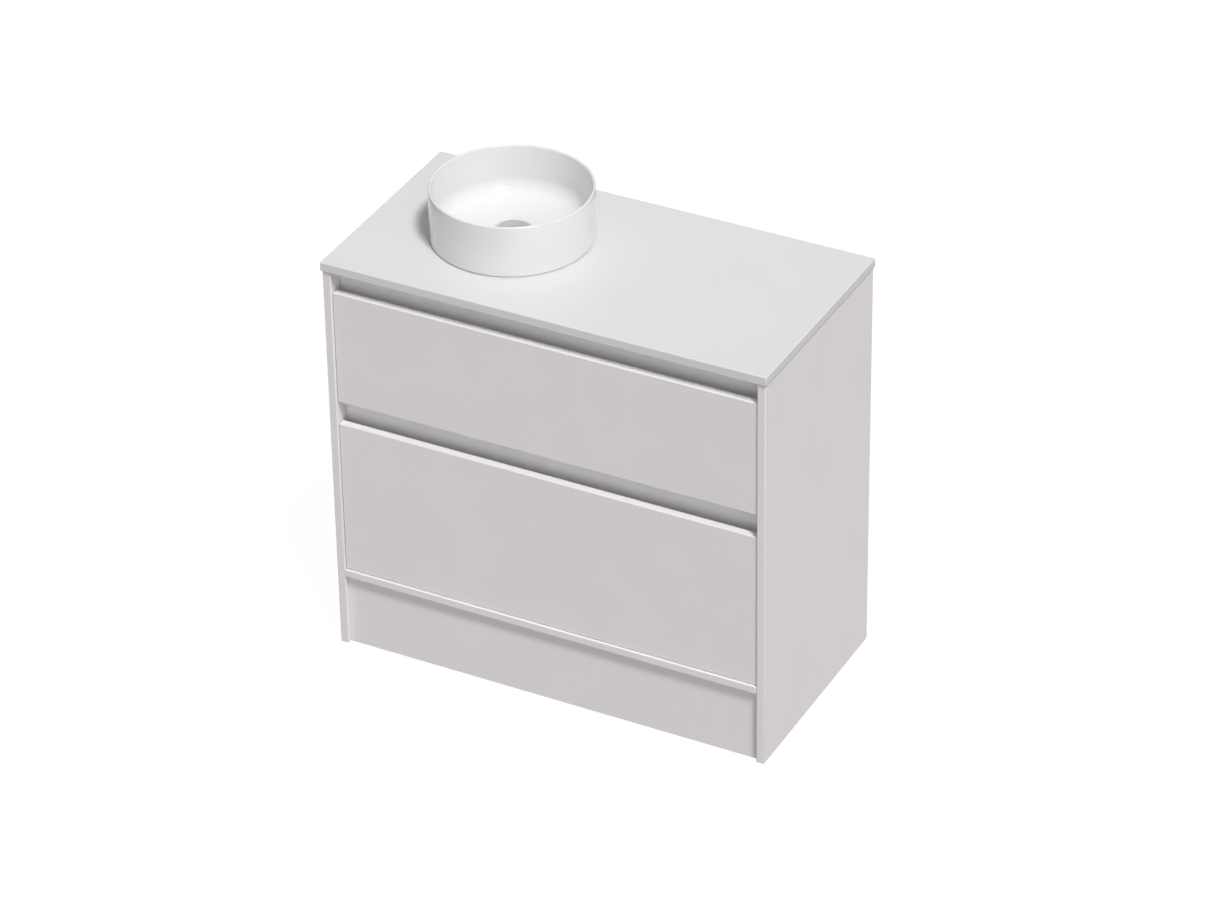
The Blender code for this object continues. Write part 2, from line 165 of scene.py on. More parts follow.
def sprayed_polyurethane():
    """Two-pack polyurethane sprayed on MDF: a satin white with the faint orange peel of a spray gun."""
    material, tree, shader, point = new_material("sprayed_polyurethane", IOR=1.5)
    clouds = add(tree, "TexNoise", {"Vector": point}, Scale=1 / 0.120)
    tint = add(tree, "ValToRGB", {"Fac": clouds}, stops=[(NOISE_LOW, "#E6E1E2"), (NOISE_HIGH, "#E8E3E4")])
    haze = add(tree, "TexNoise", {"Vector": point}, Scale=1 / 0.030, Detail=3.0)
    sheen = add(tree, "MapRange", {"Value": haze}, **NOISE_BAND, To_Min=0.38, To_Max=0.46)
    # Real orange peel is 1 to 2 mm across; it is coarser here, to show
    peel = add(tree, "TexNoise", {"Vector": point}, Scale=1 / 0.004, Detail=1.0)
    skin = add(tree, "Bump", {"Height": peel}, Distance=0.000012)
    connect(tree, shader, Base_Color=tint, Roughness=sheen, Normal=skin)
    return material


def pressed_melamine():
    """Melamine-faced board: the resin paper takes a fine pearl texture from the press plate."""
    material, tree, shader, point = new_material("pressed_melamine", IOR=1.55)
    clouds = add(tree, "TexNoise", {"Vector": point}, Scale=1 / 0.200)
    tint = add(tree, "ValToRGB", {"Fac": clouds}, stops=[(NOISE_LOW, "#E2DFDF"), (NOISE_HIGH, "#E5E2E2")])
    haze = add(tree, "TexNoise", {"Vector": point}, Scale=1 / 0.050, Detail=3.0)
    sheen = add(tree, "MapRange", {"Value": haze}, **NOISE_BAND, To_Min=0.42, To_Max=0.52)
    # The press plate's pearls are 0.5 mm across; they are coarser here, to show
    pearls = add(tree, "TexVoronoi", {"Vector": point}, options={"feature": "SMOOTH_F1"}, Scale=1 / 0.0012)
    skin = add(tree, "Bump", {"Height": pearls.outputs["Distance"]}, Distance=0.00003)
    connect(tree, shader, Base_Color=tint, Roughness=sheen, Normal=skin)
    return material


def rail_lacquer_with_painted_light():
    """The rails behind the finger gaps, in a plain white lacquer, a little cooler than the fronts and
    lighter than them: painted light against the shade in the recesses.
    """
    material, tree, shader, point = new_material("rail_lacquer_with_painted_light", IOR=1.5)
    clouds = add(tree, "TexNoise", {"Vector": point}, Scale=1 / 0.120)
    # Lighter than the fronts' white, as painted light, so that the shaded recesses behind the finger gaps
    # read brighter
    tint = add(tree, "ValToRGB", {"Fac": clouds}, stops=[(NOISE_LOW, "#EFEFEF"), (NOISE_HIGH, "#F1F1F1")])
    haze = add(tree, "TexNoise", {"Vector": point}, Scale=1 / 0.030, Detail=3.0)
    sheen = add(tree, "MapRange", {"Value": haze}, **NOISE_BAND, To_Min=0.40, To_Max=0.48)
    # The same orange peel as on the fronts, as coarse as there
    peel = add(tree, "TexNoise", {"Vector": point}, Scale=1 / 0.004, Detail=1.0)
    skin = add(tree, "Bump", {"Height": peel}, Distance=0.000012)
    connect(tree, shader, Base_Color=tint, Roughness=sheen, Normal=skin)
    return material


def raw_chipboard():
    """The sawn edge of moisture-resistant chipboard: pressed flakes of wood, some tinted green."""
    material, tree, shader, point = new_material("raw_chipboard", IOR=1.5, Roughness=0.85)
    # Flakes of the core are 1 to 4 mm long
    flakes = add(tree, "TexVoronoi", {"Vector": point}, Scale=1 / 0.0027)
    shade = add(tree, "SeparateColor", {"Color": flakes.outputs["Color"]})
    tones = [(0.0, "#B5A483"), (0.35, "#CBB995"), (0.6, "#D6C7A6"), (0.8, "#C3C3A8"), (1.0, "#DDD1B6")]
    tint = add(tree, "ValToRGB", {"Fac": shade}, stops=tones)
    pores = add(tree, "Bump", {"Height": flakes.outputs["Distance"]}, Distance=0.00025)
    connect(tree, shader, Base_Color=tint, Normal=pores)
    return material


def cast_marble_slab():
    """A cast polymer slab, honed: an even pale grey, with a soft sheen that hardly varies."""
    material, tree, shader, point = new_material(
        "cast_marble_slab", IOR=1.5, Coat_Weight=0.15, Coat_Roughness=0.25
    )
    clouds = add(tree, "TexNoise", {"Vector": point}, Scale=1 / 0.250)
    tint = add(tree, "ValToRGB", {"Fac": clouds}, stops=[(NOISE_LOW, "#D7D7D7"), (NOISE_HIGH, "#D9D9D9")])
    haze = add(tree, "TexNoise", {"Vector": point}, Scale=1 / 0.040, Detail=3.0)
    sheen = add(tree, "MapRange", {"Value": haze}, **NOISE_BAND, To_Min=0.28, To_Max=0.36)
    # The mineral filler is 0.2 mm across; its grain is coarser here, to show
    filler = add(tree, "TexNoise", {"Vector": point}, Scale=1 / 0.0015, Detail=3.0)
    skin = add(tree, "Bump", {"Height": filler}, Distance=0.000006)
    connect(tree, shader, Base_Color=tint, Roughness=sheen, Normal=skin)
    return material


def vitreous_glaze():
    """Vitreous china under a fired white glaze: a deep gloss with the slow waves that a glaze sets in."""
    material, tree, shader, point = new_material(
        "vitreous_glaze", IOR=1.52, Coat_Weight=0.6, Coat_Roughness=0.03, Coat_IOR=1.5
    )
    clouds = add(tree, "TexNoise", {"Vector": point}, Scale=1 / 0.080)
    tint = add(tree, "ValToRGB", {"Fac": clouds}, stops=[(NOISE_LOW, "#E0E1E0"), (NOISE_HIGH, "#E2E3E2")])
    haze = add(tree, "TexNoise", {"Vector": point}, Scale=1 / 0.020, Detail=3.0)
    sheen = add(tree, "MapRange", {"Value": haze}, **NOISE_BAND, To_Min=0.07, To_Max=0.12)
    waves = add(tree, "TexNoise", {"Vector": point}, Scale=1 / 0.025, Detail=1.0)
    skin = add(tree, "Bump", {"Height": waves}, Distance=0.00006)
    connect(tree, shader, Base_Color=tint, Roughness=sheen, Normal=skin)
    return material


def bare_biscuit():
    """The basin's foot, wiped clean of glaze before firing: matt fired clay with a fine grit."""
    material, tree, shader, point = new_material("bare_biscuit", IOR=1.5, Roughness=0.9)
    # The clay's grit is 0.3 mm across; it is coarser here, to show
    grit = add(tree, "TexNoise", {"Vector": point}, Scale=1 / 0.0012, Detail=5.0)
    tint = add(tree, "ValToRGB", {"Fac": grit}, stops=[(NOISE_LOW, "#CFC6B8"), (NOISE_HIGH, "#DDD6CA")])
    skin = add(tree, "Bump", {"Height": grit}, Distance=0.00010)
    connect(tree, shader, Base_Color=tint, Normal=skin)
    return material


def bright_chrome():
    """Polished brass plated with chrome: a cool mirror with faint wiping marks."""
    material, tree, shader, point = new_material("bright_chrome", Metallic=1.0, Base_Color=srgb("#D3D5D8"))
    around = add(tree, "Mapping", {"Vector": point}, Scale=(1, 1, 0.08))
    # Wiping marks are under 0.1 mm wide; they are coarser here, to show
    wipes = add(tree, "TexNoise", {"Vector": around}, Scale=1 / 0.0015, Detail=4.0)
    sheen = add(tree, "MapRange", {"Value": wipes}, **NOISE_BAND, To_Min=0.05, To_Max=0.13)
    connect(tree, shader, Roughness=sheen)
    return material


def zinc_plate(name="zinc_plate", low="#C2C6CA", high="#D3D6D9"):
    """Rolled steel, zinc plated and passivated: satin, cloudy, with drawing marks along its length."""
    material, tree, shader, point = new_material(name, Metallic=1.0)
    clouds = add(tree, "TexNoise", {"Vector": point}, Scale=1 / 0.025, Detail=3.0)
    tint = add(tree, "ValToRGB", {"Fac": clouds}, stops=[(NOISE_LOW, low), (NOISE_HIGH, high)])
    along = add(tree, "Mapping", {"Vector": point}, Scale=(1, 0.05, 1))
    # Drawing marks are 0.2 mm apart; they are coarser here, to show
    drawn = add(tree, "TexNoise", {"Vector": along}, Scale=1 / 0.0010, Detail=4.0)
    sheen = add(tree, "MapRange", {"Value": drawn}, **NOISE_BAND, To_Min=0.26, To_Max=0.42)
    skin = add(tree, "Bump", {"Height": drawn}, Distance=0.000010)
    connect(tree, shader, Base_Color=tint, Roughness=sheen, Normal=skin)
    return material


def moulded_polypropylene():
    """Injection-moulded white polypropylene: waxy, slightly see-through at thin edges, spark-textured."""
    material, tree, shader, point = new_material(
        "moulded_polypropylene", IOR=1.49, Subsurface_Weight=0.12, Subsurface_Scale=0.002
    )
    clouds = add(tree, "TexNoise", {"Vector": point}, Scale=1 / 0.040)
    tint = add(tree, "ValToRGB", {"Fac": clouds}, stops=[(NOISE_LOW, "#E6E6E0"), (NOISE_HIGH, "#ECECE7")])
    haze = add(tree, "TexNoise", {"Vector": point}, Scale=1 / 0.010, Detail=3.0)
    sheen = add(tree, "MapRange", {"Value": haze}, **NOISE_BAND, To_Min=0.36, To_Max=0.48)
    # The spark texture of the mould is 0.1 mm fine; it is coarser here, to show
    sparks = add(tree, "TexNoise", {"Vector": point}, Scale=1 / 0.0008)
    skin = add(tree, "Bump", {"Height": sparks}, Distance=0.000020)
    connect(tree, shader, Base_Color=tint, Roughness=sheen, Normal=skin)
    return material


def damper_plastic():
    """Grey acetal of the ball cages and the soft-close housings, straight from the mould."""
    material, tree, shader, point = new_material("damper_plastic", IOR=1.48)
    clouds = add(tree, "TexNoise", {"Vector": point}, Scale=1 / 0.015)
    tint = add(tree, "ValToRGB", {"Fac": clouds}, stops=[(NOISE_LOW, "#6E7276"), (NOISE_HIGH, "#7A7E82")])
    haze = add(tree, "TexNoise", {"Vector": point}, Scale=1 / 0.006, Detail=3.0)
    sheen = add(tree, "MapRange", {"Value": haze}, **NOISE_BAND, To_Min=0.35, To_Max=0.50)
    connect(tree, shader, Base_Color=tint, Roughness=sheen)
    return material


def black_rubber():
    """Black EPDM rubber, moulded, with the greyish bloom that it gets."""
    material, tree, shader, point = new_material("black_rubber", IOR=1.52)
    bloom = add(tree, "TexNoise", {"Vector": point}, Scale=1 / 0.008, Detail=4.0)
    tint = add(tree, "ValToRGB", {"Fac": bloom}, stops=[(NOISE_LOW, "#1C1C1D"), (NOISE_HIGH, "#2B2B2C")])
    sheen = add(tree, "MapRange", {"Value": bloom}, **NOISE_BAND, To_Min=0.60, To_Max=0.80)
    connect(tree, shader, Base_Color=tint, Roughness=sheen)
    return material


def clear_silicone():
    """A tooled bead of sanitary silicone: milky and soft-edged, smoothed with a wet finger."""
    material, tree, shader, point = new_material(
        "clear_silicone", IOR=1.41, Subsurface_Weight=0.4, Subsurface_Scale=0.002
    )
    drag = add(tree, "TexNoise", {"Vector": point}, Scale=1 / 0.006)
    tint = add(tree, "ValToRGB", {"Fac": drag}, stops=[(NOISE_LOW, "#D2D3D1"), (NOISE_HIGH, "#DADBD9")])
    sheen = add(tree, "MapRange", {"Value": drag}, **NOISE_BAND, To_Min=0.25, To_Max=0.38)
    skin = add(tree, "Bump", {"Height": drag}, Distance=0.00008)
    connect(tree, shader, Base_Color=tint, Roughness=sheen, Normal=skin)
    return material


def bearing_steel():
    """Ground and polished balls under a film of grease."""
    material, tree, shader, point = new_material("bearing_steel", Metallic=1.0, Base_Color=srgb("#C9CBCE"))
    film = add(tree, "TexNoise", {"Vector": point}, Scale=1 / 0.003)
    sheen = add(tree, "MapRange", {"Value": film}, **NOISE_BAND, To_Min=0.10, To_Max=0.22)
    connect(tree, shader, Roughness=sheen)
    return material


# Shapes


def arc(centre, radius, start, end, points=10):
    """Points on a round corner of a profile, from one angle to another in degrees."""
    turns = [math.radians(start + (end - start) * i / (points - 1)) for i in range(points)]
    return [(centre[0] + radius * math.cos(t), centre[1] + radius * math.sin(t)) for t in turns]


def turn(profile, steps=ROUND_STEPS):
    """A bmesh of a profile of (radius, height) points, turned about the Z axis."""
    work = bmesh.new()
    points = [work.verts.new((radius, 0, height)) for radius, height in profile]
    edges = [work.edges.new(pair) for pair in zip(points, points[1:])]
    if profile[0][0] > 0 or profile[-1][0] > 0:
        edges.append(work.edges.new((points[-1], points[0])))
    bmesh.ops.spin(
        work, geom=points + edges, cent=(0, 0, 0), axis=Z_AXIS,
        angle=math.tau, steps=steps, use_merge=True,
    )
    bmesh.ops.remove_doubles(work, verts=work.verts, dist=0.000005)
    bmesh.ops.recalc_face_normals(work, faces=work.faces)
    for face in work.faces:
        face.smooth = True
    return work


def block(low, high, rounding=0.0, segments=3):
    """A bmesh of a rectangular block between two corners, with its edges rounded."""
    work = bmesh.new()
    bmesh.ops.create_cube(work, size=1.0)
    low, high = Vector(low), Vector(high)
    bmesh.ops.scale(work, vec=high - low, verts=work.verts)
    bmesh.ops.translate(work, vec=(low + high) / 2, verts=work.verts)
    if rounding:
        round_edges(work, rounding, segments)
    return work


def move(work, place):
    bmesh.ops.translate(work, vec=place, verts=work.verts)


def round_edges(work, rounding, segments=3):
    """Rounds the sharp edges. The roundings are smooth, the faces flat."""
    flats = {tuple(round(c, 2) for c in face.normal) for face in work.faces}
    limit = math.radians(SHARP_ANGLE)
    sharp = [edge for edge in work.edges if edge.is_manifold and edge.calc_face_angle() > limit]
    bmesh.ops.bevel(
        work, geom=sharp, offset=rounding, offset_type="OFFSET", segments=segments,
        profile=0.5, affect="EDGES", clamp_overlap=True, material=-1,
    )
    work.normal_update()
    for face in work.faces:
        face.smooth = tuple(round(c, 2) for c in face.normal) not in flats


def from_node(node):
    """A bmesh of a CAD node's shape, with its triangles joined into the faces they came from."""
    work = bmesh.new()
    work.from_mesh(NODES[node].data)
    bmesh.ops.remove_doubles(work, verts=work.verts, dist=0.00001)
    bmesh.ops.dissolve_limit(
        work, angle_limit=math.radians(0.5), verts=work.verts, edges=work.edges
    )
    for face in work.faces:
        face.smooth = False
        face.material_index = 0
    return work


def join(work, other, matrix):
    """Adds another bmesh's shape, moved by the matrix, and leaves the other as it is."""
    spare = bpy.data.meshes.new("spare")
    other.to_mesh(spare)
    before = set(work.verts)
    work.from_mesh(spare)
    bmesh.ops.transform(work, matrix=matrix, verts=[v for v in work.verts if v not in before])
    bpy.data.meshes.remove(spare)


def cut(work, cutter):
    """Cuts the cutter's shape away, and frees the cutter."""
    bodies = []
    for name, part in (("cut_piece", work), ("cutter", cutter)):
        mesh = bpy.data.meshes.new(name)
        part.to_mesh(mesh)
        bodies.append(bpy.data.objects.new(name, mesh))
        bpy.context.scene.collection.objects.link(bodies[-1])
    piece, tool = bodies
    modifier = piece.modifiers.new("cut", "BOOLEAN")
    modifier.operation = "DIFFERENCE"
    modifier.solver = "EXACT"
    modifier.object = tool
    graph = bpy.context.evaluated_depsgraph_get()
    work.clear()
    work.from_mesh(piece.evaluated_get(graph).to_mesh())
    for body in bodies:
        bpy.data.meshes.remove(body.data)
    cutter.free()


def turn_to(axis, place):
    """The matrix that takes a shape made along +Z to this place, pointing along the axis."""
    return Matrix.Translation(place) @ Z_AXIS.rotation_difference(Vector(axis)).to_matrix().to_4x4()


def piece(name, work, looks, body, slot, replaced=()):
    """A finished piece that rides on a body and stands for the CAD nodes that it replaces."""
    for edge in work.edges:
        edge.smooth = not edge.is_manifold or edge.calc_face_angle() < math.radians(SMOOTH_ANGLE)
    mesh = bpy.data.meshes.new(name)
    work.to_mesh(mesh)
    work.free()
    for look in looks:
        mesh.materials.append(look)
    made = bpy.data.objects.new(name, mesh)
    bpy.context.scene.collection.objects.link(made)
    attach(made, body)
    if replaced:
        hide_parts(*replaced)
    return made


def stand_in(name, work, looks, node):
    """A piece that takes the place and the body of one CAD node."""
    return piece(name, work, looks, BODY_OF[node], SLOTS[node], [node])


def soften(node, name, look, rounding, segments=3):
    """The CAD node's own shape, with rounded edges."""
    work = from_node(node)
    round_edges(work, rounding, segments)
    stand_in(name, work, [look], node)


# Boards


def soft_board(node, looks, rounding, raw=()):
    """A board with rounded edges. raw lists the directions in which its sawn core shows."""
    work = from_node(node)
    for face in work.faces:
        if any(face.normal.dot(Vector(direction)) > 0.9 for direction in raw):
            face.material_index = 1
    round_edges(work, rounding)
    stand_in(f"{node}_board", work, looks, node)


def make_carcass(looks):
    """Painted where it shows, melamine-faced where it doesn't, with raw edges where nobody looks."""
    up, down, back = (0, 0, 1), (0, 0, -1), (0, 1, 0)
    painted = [looks["paint"], looks["chipboard"]]
    faced = [looks["melamine"], looks["chipboard"]]
    for side in SIDES:
        soft_board(f"side_panel_{side}", painted, PANEL_ROUNDING, raw=(back, down))
    soft_board("kick_panel", painted, BANDED_ROUNDING, raw=(down,))
    for node in ("front_top_rail", "middle_rail"):
        soft_board(node, [looks["rail"]], BANDED_ROUNDING)
    soft_board("bottom_panel", painted, PANEL_ROUNDING, raw=(back,))
    soft_board("rear_plinth", faced, BANDED_ROUNDING, raw=(down,))
    soft_board("back_top_rail", faced, BANDED_ROUNDING, raw=(down,))
    soft_board("back_bottom_rail", faced, BANDED_ROUNDING, raw=(up,))


def make_drawer_boards(looks):
    """The painted fronts, and the drawers' boxes, raw on their undersides."""
    down = (0, 0, -1)
    faced = [looks["melamine"], looks["chipboard"]]
    for drawer in DRAWERS:
        soft_board(f"{drawer}_front", [looks["paint"]], FRONT_ROUNDING)
        for node in BODIES[drawer]:
            if node != f"{drawer}_front" and "runner" not in node:
                soft_board(node, faced, BANDED_ROUNDING, raw=(down,))


def make_bench_top(looks):
    soften("bench_top", "bench_slab", looks["slab"], BENCH_ROUNDING, segments=4)


# Basin and waste


def make_basin(looks):
    """The bowl turned at full fineness, its foot left bare, and the bead of silicone around it."""
    low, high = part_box("basin")
    centre = (low + high) / 2
    radius, height = (high.x - low.x) / 2, high.z - low.z
    foot_outer, foot_inner, hollow = 0.1495, 0.1385, 0.0035
    outer_round, rim, inner_round = radius - foot_outer, BASIN_WALL / 2, 0.028
    draft, floor_edge, floor_waste, seat = 0.0025, 0.0135, 0.0105, 0.0050
    inner_wall = radius - BASIN_WALL - draft
    seat_radius, hole, hub, flare, lip = 0.0345, 0.0225, 0.038, 0.004, 0.0015
    profile = [
        (hole, 0), (hub, 0), (hub + hollow, hollow), (foot_inner - hollow, hollow), (foot_inner, 0),
        *arc((foot_outer, outer_round), outer_round, -90, 0, 16),
        *arc((radius - rim, height - rim), rim, 0, 180, 12),
        *arc((inner_wall - inner_round, floor_edge + inner_round), inner_round, 0, -90, 20),
        *arc((seat_radius + flare, floor_waste - lip), lip, 90, 180, 5),
        (seat_radius, seat), (hole, seat),
    ]
    work = turn(profile, BASIN_STEPS)
    for face in work.faces:
        middle = face.calc_center_median()
        under = face.normal.z < -0.7 and middle.z < hollow + 0.001
        face.material_index = 1 if under and middle.xy.length < foot_outer else 0
    move(work, (centre.x, centre.y, low.z))
    stand_in("basin_bowl", work, [looks["glaze"], looks["biscuit"]], "basin")

    seal_low, seal_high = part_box("basin_seal")
    thick, bead_inner = seal_high.z - seal_low.z, foot_inner + 0.001
    bead = [
        (bead_inner, 0), (foot_outer + 0.0035, 0), (foot_outer + 0.0018, 0.0007),
        (foot_outer + 0.0008, thick), (bead_inner, thick),
    ]
    work = turn(bead, BASIN_STEPS)
    move(work, (centre.x, centre.y, seal_low.z))
    stand_in("silicone_bead", work, [looks["silicone"]], "basin_seal")


def axis_of(node):
    low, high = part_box(node)
    return (low.x + high.x) / 2, (low.y + high.y) / 2


def make_waste(looks):
    """The chromed waste with its cut thread, its washer and nut, and the push plug."""
    x, y = axis_of("waste_body")
    low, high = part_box("waste_body")
    flange, flange_thick, tube, bore, throat = 0.0330, 0.0020, 0.0210, 0.0170, 0.0035
    pitch, depth, collar, tail, chamfer = 0.002, 0.0008, 0.012, 0.004, 0.0010
    ledge = high.z - flange_thick
    thread_top = ledge - collar
    outside = [(tube, ledge), (tube, thread_top)]
    turns_cut = int((thread_top - low.z - tail) / pitch)
    for i in range(turns_cut):
        crest = thread_top - i * pitch
        outside += [(tube - depth, crest - pitch / 2), (tube, crest - pitch)]
    outside += [(tube, low.z + chamfer), (tube - chamfer, low.z)]
    inside = [(bore, low.z), (bore, high.z - throat)]
    inside += arc((bore + throat, high.z - throat), throat, 180, 90, 6)
    rim = arc((flange - chamfer, high.z - chamfer), chamfer, 90, 0, 5) + [(flange, ledge)]
    work = turn([*inside, *rim, *outside], PIPE_STEPS)
    move(work, (x, y, 0))
    stand_in("waste_tail", work, [looks["chrome"]], "waste_body")

    soften("waste_washer", "rubber_washer", looks["rubber"], 0.0008)
    soften("waste_backnut", "hexagon_nut", looks["chrome"], 0.0008)
    make_plug(looks)


def make_plug(looks):
    """The push plug: a slightly domed cap over its rubber ring, on a rod in a guide."""
    x, y = axis_of("plug_cap")
    low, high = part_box("plug_cap")
    radius, height = (high.x - low.x) / 2, high.z - low.z
    foot, shoulder, shoulder_drop = 0.0008, 0.0022, 0.0030
    cap = [(0, 0), (radius - 0.0012, 0), *arc((radius - foot, foot), foot, -90, 0, 5)]
    cap += arc((radius - shoulder, height - shoulder_drop), shoulder, 0, 75, 8)
    # The dome's fall from its middle, at these shares of the radius
    falls = ((0.75, 0.0009), (0.5, 0.0004), (0.25, 0.0001), (0, 0))
    cap += [(radius * share, height - fall) for share, fall in falls]
    work = turn(cap)
    move(work, (x, y, low.z))
    stand_in("plug_dome", work, [looks["chrome"]], "plug_cap")
    for node, name, look in (
        ("plug_seal", "plug_ring", "rubber"),
        ("plug_stem", "plug_rod", "chrome"),
        ("plug_guide", "plug_spider", "polypropylene"),
    ):
        soften(node, name, looks[look], TRIM_ROUNDING, segments=2)


# Trap


def raise_ribs(work, radius, count):
    """Pushes out some side faces of a turned wall of this radius, evenly round it, as grip ribs."""
    pitch = math.tau / count
    ribs = []
    for face in work.faces:
        middle = face.calc_center_median()
        outward = face.normal.dot(Vector((middle.x, middle.y, 0))) > 0
        on_wall = abs(face.normal.z) < 0.1 and abs(middle.xy.length - radius) < 0.0006
        share = (math.atan2(middle.y, middle.x) % math.tau) / pitch % 1.0
        if outward and on_wall and share < RIB_SHARE:
            ribs.append(face)
    for face in bmesh.ops.extrude_discrete_faces(work, faces=ribs)["faces"]:
        bmesh.ops.translate(work, vec=face.normal * RIB_RISE, verts=face.verts)
        centre = face.calc_center_median()
        bmesh.ops.transform(
            work, matrix=Matrix.Scale(RIB_TAPER, 4), space=Matrix.Translation(-centre),
            verts=face.verts,
        )
        face.smooth = False


def lay_along_y(work):
    bmesh.ops.rotate(work, matrix=Matrix.Rotation(-math.pi / 2, 3, "X"), verts=work.verts)


def ribbed_nut(outer, neck, grip, start, shoulder, end):
    """A compression nut turned about Z, open at the start, with 24 grip ribs round it."""
    wall = outer - 0.0014
    profile = [
        (neck, start), (wall - 0.0006, start), (wall, start + 0.0010), (wall, end - 0.0040),
        *arc((wall - 0.0020, end - 0.0020), 0.0020, 0, 90, 5), (grip, end), (grip, shoulder),
        (neck, shoulder),
    ]
    work = turn(profile, RIBBED_STEPS)
    raise_ribs(work, wall, 24)
    return work


def make_trap_cup(plastic, x, y):
    """The cup that unscrews from the bottle, with 12 long grip ribs and a recess in its floor."""
    low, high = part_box("trap_cup")
    flange, cup, cup_bore, floor_radius = 0.0355, 0.0341, 0.0325, 0.0100
    profile = [
        (0, low.z), (0.012, low.z), (0.013, low.z + 0.0012), (0.0160, low.z + 0.0012), (0.0170, low.z),
        *arc((cup - floor_radius, low.z + floor_radius), floor_radius, -90, 0, 8),
        (cup, low.z + 0.0200), (cup, high.z - 0.0200), (flange, high.z - 0.0185),
        (flange, high.z - 0.0010), (flange - 0.0010, high.z), (cup_bore, high.z),
        *arc((cup_bore - 0.0075, low.z + 0.0105), 0.0075, 0, -90, 6), (0, low.z + 0.0030),
    ]
    work = turn(profile, RIBBED_STEPS)
    raise_ribs(work, cup, 12)
    move(work, (x, y, 0))
    stand_in("ribbed_cup", work, plastic, "trap_cup")


def make_outlet(plastic, x):
    """The outlet's nut and the pipe back to the wall, both along Y."""
    low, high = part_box("trap_outlet_nut")
    z = (low.z + high.z) / 2
    work = ribbed_nut(
        outer=(high.x - low.x) / 2, neck=0.0218, grip=0.0175,
        start=low.y, shoulder=high.y - 0.0075, end=high.y,
    )
    lay_along_y(work)
    move(work, (x, 0, z))
    stand_in("ribbed_outlet_nut", work, plastic, "trap_outlet_nut")

    low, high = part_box("trap_outlet_pipe")
    pipe, pipe_bore = (high.x - low.x) / 2, 0.0150
    profile = [
        (pipe_bore, low.y), (pipe, low.y), (pipe, high.y - 0.0015), (pipe - 0.0012, high.y),
        (pipe_bore, high.y),
    ]
    work = turn(profile, PIPE_STEPS)
    lay_along_y(work)
    move(work, (x, 0, z))
    stand_in("outlet_tube", work, plastic, "trap_outlet_pipe")


def make_trap(looks):
    """The bottle trap: ribbed nuts, a moulded body and cup, and the pipe back to the wall."""
    plastic = [looks["polypropylene"]]
    x, y = axis_of("waste_body")
    low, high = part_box("trap_inlet_nut")
    work = ribbed_nut(
        outer=0.0300, neck=0.0248, grip=0.0213,
        start=low.z, shoulder=high.z - 0.0112, end=high.z,
    )
    move(work, (x, y, 0))
    stand_in("ribbed_inlet_nut", work, plastic, "trap_inlet_nut")
    soften("trap_dip_tube", "dip_pipe", plastic[0], TRIM_ROUNDING, segments=2)
    body = from_node("trap_body")
    for face in body.faces:
        face.smooth = True
    stand_in("trap_bottle", body, plastic, "trap_body")
    make_trap_cup(plastic, x, y)
    make_outlet(plastic, x)


# Fixings


def screw_head(radius=0.0035, height=0.0016):
    """A pan-head screw with a cross recess, standing on z = 0 and pointing up."""
    skirt, dome = height * 0.35, height * 0.65
    crown = [(0, 0), (radius, 0), (radius, skirt)]
    crown += arc((radius - dome, skirt), dome, 15, 90, 5) + [(0, height)]
    work = turn(crown, 24)
    arm, half_slot = radius * 0.55, 0.0005
    for half_x, half_y in ((arm, half_slot), (half_slot, arm)):
        cut(work, block((-half_x, -half_y, skirt), (half_x, half_y, height * 2)))
    bmesh.ops.dissolve_degenerate(work, dist=0.00002, edges=work.edges)
    bmesh.ops.triangulate(work, faces=work.faces)
    return work


def scatter(name, template, places, axis, look, body, slot):
    """One piece made of copies of a small part, each at a place and pointing along the axis."""
    work = bmesh.new()
    for place in places:
        join(work, template, turn_to(axis, place))
    return piece(name, work, [look], body, slot)


def make_bracket(looks, screw, side, sign):
    """A steel angle between the back top rail and a side panel, with two screws in each leg."""
    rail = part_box("back_top_rail")[1]
    node = f"angle_bracket_{side}"
    soften(node, f"steel_angle_{side}", looks["zinc"], SHEET_ROUNDING, segments=2)
    low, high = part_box(node)
    middle = (low.z + high.z) / 2
    rail_places = [
        (sign * (rail.x - across), high.y - METAL_SHEET, middle) for across in BRACKET_SCREWS
    ]
    corner = rail.y - RAIL_THICKNESS
    panel_places = [
        (sign * (rail.x - METAL_SHEET), corner - across, middle) for across in BRACKET_SCREWS
    ]
    for leg, places, axis in (("rail", rail_places, -Y_AXIS), ("panel", panel_places, -X_AXIS * sign)):
        name = f"angle_{leg}_screws_{side}"
        scatter(name, screw, places, axis, looks["screw"], "cabinet", "runner_steel")


def make_caps(looks):
    """The plastic caps over the screws that join the carcass boards, on their hidden faces."""
    rim, skirt, edge, thick = 0.0088, 0.0006, 0.0010, 0.0018
    profile = [(0, 0), (rim, 0), (rim, skirt), *arc((rim - edge, skirt), edge, 0, 90, 4), (0, thick)]
    cap = turn(profile, 32)

    def cover(node, places, axis):
        scatter(f"{node}_caps", cap, places, axis, looks["polypropylene"], "cabinet", "white_plastic")

    for node in ("front_top_rail", "middle_rail"):
        low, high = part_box(node)
        middle = (low.z + high.z) / 2
        heights = (middle - CAP_SPREAD, middle + CAP_SPREAD)
        ends = (low.x + CAP_INSET, high.x - CAP_INSET)
        cover(node, [(end, high.y, height) for end in ends for height in heights], Y_AXIS)
    low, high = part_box("back_bottom_rail")
    middle = (low.z + high.z) / 2
    ends = (low.x + CAP_INSET, high.x - CAP_INSET)
    cover("back_bottom_rail", [(end, low.y, middle) for end in ends], -Y_AXIS)
    low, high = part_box("bottom_panel")
    ends = (low.x + CAP_INSET, high.x - CAP_INSET)
    cover("bottom_panel", [(end, y, low.z) for end in ends for y in BOTTOM_CAPS], -Z_AXIS)


